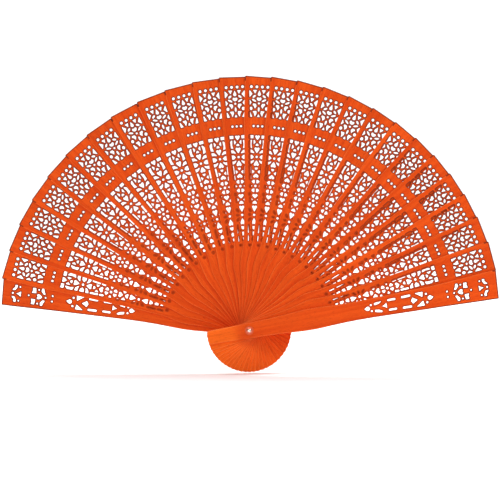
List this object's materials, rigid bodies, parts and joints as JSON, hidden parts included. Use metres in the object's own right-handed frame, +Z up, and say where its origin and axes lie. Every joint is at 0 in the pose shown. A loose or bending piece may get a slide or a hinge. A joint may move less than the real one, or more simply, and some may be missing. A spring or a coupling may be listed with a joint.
{
  "type": "folding hand fan",
  "caption": "Pierced wooden folding hand fan: thin lace-cut sticks between two guards, turning together on one rivet and joined by a hidden ribbon.",
  "frame": {"origin": "on the rivet's axis, half way through the stack of sticks", "axes": "-Y along the rivet towards the viewer and the front guard, +Z up through the middle of the open fan, +X to the viewer's right"},
  "size_m": [0.3374, 0.0314, 0.201],
  "materials": {
    "leaf_wood": "dyed bright orange, satin",
    "guard_wood": "dyed bright orange, satin",
    "ribbon": "woven satin ribbon",
    "rivet_metal": "bright plated",
    "washer_metal": "copper-toned, worn"
  },
  "bodies": {
    "back_guard_and_rivet": {"back_guard": "guard_wood", "rivet_pin": "rivet_metal", "rivet_cap": "rivet_metal", "front_washer": "washer_metal", "back_washer": "washer_metal"},
    "front_guard_leaf": {"front_guard": "guard_wood", "ribbon_span_01": "ribbon"},
    "stick_01_leaf": {"leaf_stick_01": "leaf_wood", "ribbon_span_02": "ribbon"},
    "stick_02_leaf": {"leaf_stick_02": "leaf_wood", "ribbon_span_03": "ribbon"},
    "stick_03_leaf": {"leaf_stick_03": "leaf_wood", "ribbon_span_04": "ribbon"},
    "stick_04_leaf": {"leaf_stick_04": "leaf_wood", "ribbon_span_05": "ribbon"},
    "stick_05_leaf": {"leaf_stick_05": "leaf_wood", "ribbon_span_06": "ribbon"},
    "stick_06_leaf": {"leaf_stick_06": "leaf_wood", "ribbon_span_07": "ribbon"},
    "stick_07_leaf": {"leaf_stick_07": "leaf_wood", "ribbon_span_08": "ribbon"},
    "stick_08_leaf": {"leaf_stick_08": "leaf_wood", "ribbon_span_09": "ribbon"},
    "stick_09_leaf": {"leaf_stick_09": "leaf_wood", "ribbon_span_10": "ribbon"},
    "stick_10_leaf": {"leaf_stick_10": "leaf_wood", "ribbon_span_11": "ribbon"},
    "stick_11_leaf": {"leaf_stick_11": "leaf_wood", "ribbon_span_12": "ribbon"},
    "stick_12_leaf": {"leaf_stick_12": "leaf_wood", "ribbon_span_13": "ribbon"},
    "stick_13_leaf": {"leaf_stick_13": "leaf_wood", "ribbon_span_14": "ribbon"},
    "stick_14_leaf": {"leaf_stick_14": "leaf_wood", "ribbon_span_15": "ribbon"},
    "stick_15_leaf": {"leaf_stick_15": "leaf_wood", "ribbon_span_16": "ribbon"},
    "stick_16_leaf": {"leaf_stick_16": "leaf_wood", "ribbon_span_17": "ribbon"},
    "stick_17_leaf": {"leaf_stick_17": "leaf_wood", "ribbon_span_18": "ribbon"},
    "stick_18_leaf": {"leaf_stick_18": "leaf_wood", "ribbon_span_19": "ribbon"},
    "stick_19_leaf": {"leaf_stick_19": "leaf_wood", "ribbon_span_20": "ribbon"},
    "stick_20_leaf": {"leaf_stick_20": "leaf_wood", "ribbon_span_21": "ribbon"},
    "stick_21_leaf": {"leaf_stick_21": "leaf_wood", "ribbon_span_22": "ribbon"},
    "stick_22_leaf": {"leaf_stick_22": "leaf_wood", "ribbon_span_23": "ribbon"},
    "stick_23_leaf": {"leaf_stick_23": "leaf_wood", "ribbon_span_24": "ribbon"},
    "stick_24_leaf": {"leaf_stick_24": "leaf_wood", "ribbon_span_25": "ribbon"},
    "stick_25_leaf": {"leaf_stick_25": "leaf_wood", "ribbon_span_26": "ribbon"}
  },
  "joints": [
    {"name": "fan_opening", "type": "hinge", "parent": "back_guard_and_rivet", "child": "front_guard_leaf", "pos_m": [0, 0, 0], "axis": [0, -1, 0], "range_deg": [0, 161]},
    {"name": "stick_01_turn", "type": "hinge", "parent": "back_guard_and_rivet", "child": "stick_01_leaf", "pos_m": [0, 0, 0], "axis": [0, -1, 0], "range_deg": [0, 154.35]},
    {"name": "stick_02_turn", "type": "hinge", "parent": "back_guard_and_rivet", "child": "stick_02_leaf", "pos_m": [0, 0, 0], "axis": [0, -1, 0], "range_deg": [0, 148.18]},
    {"name": "stick_03_turn", "type": "hinge", "parent": "back_guard_and_rivet", "child": "stick_03_leaf", "pos_m": [0, 0, 0], "axis": [0, -1, 0], "range_deg": [0, 142.31]},
    {"name": "stick_04_turn", "type": "hinge", "parent": "back_guard_and_rivet", "child": "stick_04_leaf", "pos_m": [0, 0, 0], "axis": [0, -1, 0], "range_deg": [0, 136.67]},
    {"name": "stick_05_turn", "type": "hinge", "parent": "back_guard_and_rivet", "child": "stick_05_leaf", "pos_m": [0, 0, 0], "axis": [0, -1, 0], "range_deg": [0, 131.15]},
    {"name": "stick_06_turn", "type": "hinge", "parent": "back_guard_and_rivet", "child": "stick_06_leaf", "pos_m": [0, 0, 0], "axis": [0, -1, 0], "range_deg": [0, 125.56]},
    {"name": "stick_07_turn", "type": "hinge", "parent": "back_guard_and_rivet", "child": "stick_07_leaf", "pos_m": [0, 0, 0], "axis": [0, -1, 0], "range_deg": [0, 119.8]},
    {"name": "stick_08_turn", "type": "hinge", "parent": "back_guard_and_rivet", "child": "stick_08_leaf", "pos_m": [0, 0, 0], "axis": [0, -1, 0], "range_deg": [0, 113.85]},
    {"name": "stick_09_turn", "type": "hinge", "parent": "back_guard_and_rivet", "child": "stick_09_leaf", "pos_m": [0, 0, 0], "axis": [0, -1, 0], "range_deg": [0, 107.76]},
    {"name": "stick_10_turn", "type": "hinge", "parent": "back_guard_and_rivet", "child": "stick_10_leaf", "pos_m": [0, 0, 0], "axis": [0, -1, 0], "range_deg": [0, 101.66]},
    {"name": "stick_11_turn", "type": "hinge", "parent": "back_guard_and_rivet", "child": "stick_11_leaf", "pos_m": [0, 0, 0], "axis": [0, -1, 0], "range_deg": [0, 95.64]},
    {"name": "stick_12_turn", "type": "hinge", "parent": "back_guard_and_rivet", "child": "stick_12_leaf", "pos_m": [0, 0, 0], "axis": [0, -1, 0], "range_deg": [0, 89.73]},
    {"name": "stick_13_turn", "type": "hinge", "parent": "back_guard_and_rivet", "child": "stick_13_leaf", "pos_m": [0, 0, 0], "axis": [0, -1, 0], "range_deg": [0, 83.86]},
    {"name": "stick_14_turn", "type": "hinge", "parent": "back_guard_and_rivet", "child": "stick_14_leaf", "pos_m": [0, 0, 0], "axis": [0, -1, 0], "range_deg": [0, 77.88]},
    {"name": "stick_15_turn", "type": "hinge", "parent": "back_guard_and_rivet", "child": "stick_15_leaf", "pos_m": [0, 0, 0], "axis": [0, -1, 0], "range_deg": [0, 71.67]},
    {"name": "stick_16_turn", "type": "hinge", "parent": "back_guard_and_rivet", "child": "stick_16_leaf", "pos_m": [0, 0, 0], "axis": [0, -1, 0], "range_deg": [0, 65.16]},
    {"name": "stick_17_turn", "type": "hinge", "parent": "back_guard_and_rivet", "child": "stick_17_leaf", "pos_m": [0, 0, 0], "axis": [0, -1, 0], "range_deg": [0, 58.41]},
    {"name": "stick_18_turn", "type": "hinge", "parent": "back_guard_and_rivet", "child": "stick_18_leaf", "pos_m": [0, 0, 0], "axis": [0, -1, 0], "range_deg": [0, 51.55]},
    {"name": "stick_19_turn", "type": "hinge", "parent": "back_guard_and_rivet", "child": "stick_19_leaf", "pos_m": [0, 0, 0], "axis": [0, -1, 0], "range_deg": [0, 44.75]},
    {"name": "stick_20_turn", "type": "hinge", "parent": "back_guard_and_rivet", "child": "stick_20_leaf", "pos_m": [0, 0, 0], "axis": [0, -1, 0], "range_deg": [0, 38.12]},
    {"name": "stick_21_turn", "type": "hinge", "parent": "back_guard_and_rivet", "child": "stick_21_leaf", "pos_m": [0, 0, 0], "axis": [0, -1, 0], "range_deg": [0, 31.7]},
    {"name": "stick_22_turn", "type": "hinge", "parent": "back_guard_and_rivet", "child": "stick_22_leaf", "pos_m": [0, 0, 0], "axis": [0, -1, 0], "range_deg": [0, 25.4]},
    {"name": "stick_23_turn", "type": "hinge", "parent": "back_guard_and_rivet", "child": "stick_23_leaf", "pos_m": [0, 0, 0], "axis": [0, -1, 0], "range_deg": [0, 19.12]},
    {"name": "stick_24_turn", "type": "hinge", "parent": "back_guard_and_rivet", "child": "stick_24_leaf", "pos_m": [0, 0, 0], "axis": [0, -1, 0], "range_deg": [0, 12.75]},
    {"name": "stick_25_turn", "type": "hinge", "parent": "back_guard_and_rivet", "child": "stick_25_leaf", "pos_m": [0, 0, 0], "axis": [0, -1, 0], "range_deg": [0, 6.27]}
  ],
  "couplings": [
    {"joint": "stick_01_turn", "follows": "fan_opening", "ratio": 0.95866},
    {"joint": "stick_02_turn", "follows": "fan_opening", "ratio": 0.92034},
    {"joint": "stick_03_turn", "follows": "fan_opening", "ratio": 0.88383},
    {"joint": "stick_04_turn", "follows": "fan_opening", "ratio": 0.84884},
    {"joint": "stick_05_turn", "follows": "fan_opening", "ratio": 0.81451},
    {"joint": "stick_06_turn", "follows": "fan_opening", "ratio": 0.77983},
    {"joint": "stick_07_turn", "follows": "fan_opening", "ratio": 0.74407},
    {"joint": "stick_08_turn", "follows": "fan_opening", "ratio": 0.70705},
    {"joint": "stick_09_turn", "follows": "fan_opening", "ratio": 0.66923},
    {"joint": "stick_10_turn", "follows": "fan_opening", "ratio": 0.63134},
    {"joint": "stick_11_turn", "follows": "fan_opening", "ratio": 0.59398},
    {"joint": "stick_12_turn", "follows": "fan_opening", "ratio": 0.5573},
    {"joint": "stick_13_turn", "follows": "fan_opening", "ratio": 0.52081},
    {"joint": "stick_14_turn", "follows": "fan_opening", "ratio": 0.48367},
    {"joint": "stick_15_turn", "follows": "fan_opening", "ratio": 0.44507},
    {"joint": "stick_16_turn", "follows": "fan_opening", "ratio": 0.40466},
    {"joint": "stick_17_turn", "follows": "fan_opening", "ratio": 0.36273},
    {"joint": "stick_18_turn", "follows": "fan_opening", "ratio": 0.32013},
    {"joint": "stick_19_turn", "follows": "fan_opening", "ratio": 0.27788},
    {"joint": "stick_20_turn", "follows": "fan_opening", "ratio": 0.23673},
    {"joint": "stick_21_turn", "follows": "fan_opening", "ratio": 0.19682},
    {"joint": "stick_22_turn", "follows": "fan_opening", "ratio": 0.15772},
    {"joint": "stick_23_turn", "follows": "fan_opening", "ratio": 0.11869},
    {"joint": "stick_24_turn", "follows": "fan_opening", "ratio": 0.079117},
    {"joint": "stick_25_turn", "follows": "fan_opening", "ratio": 0.038881}
  ]
}
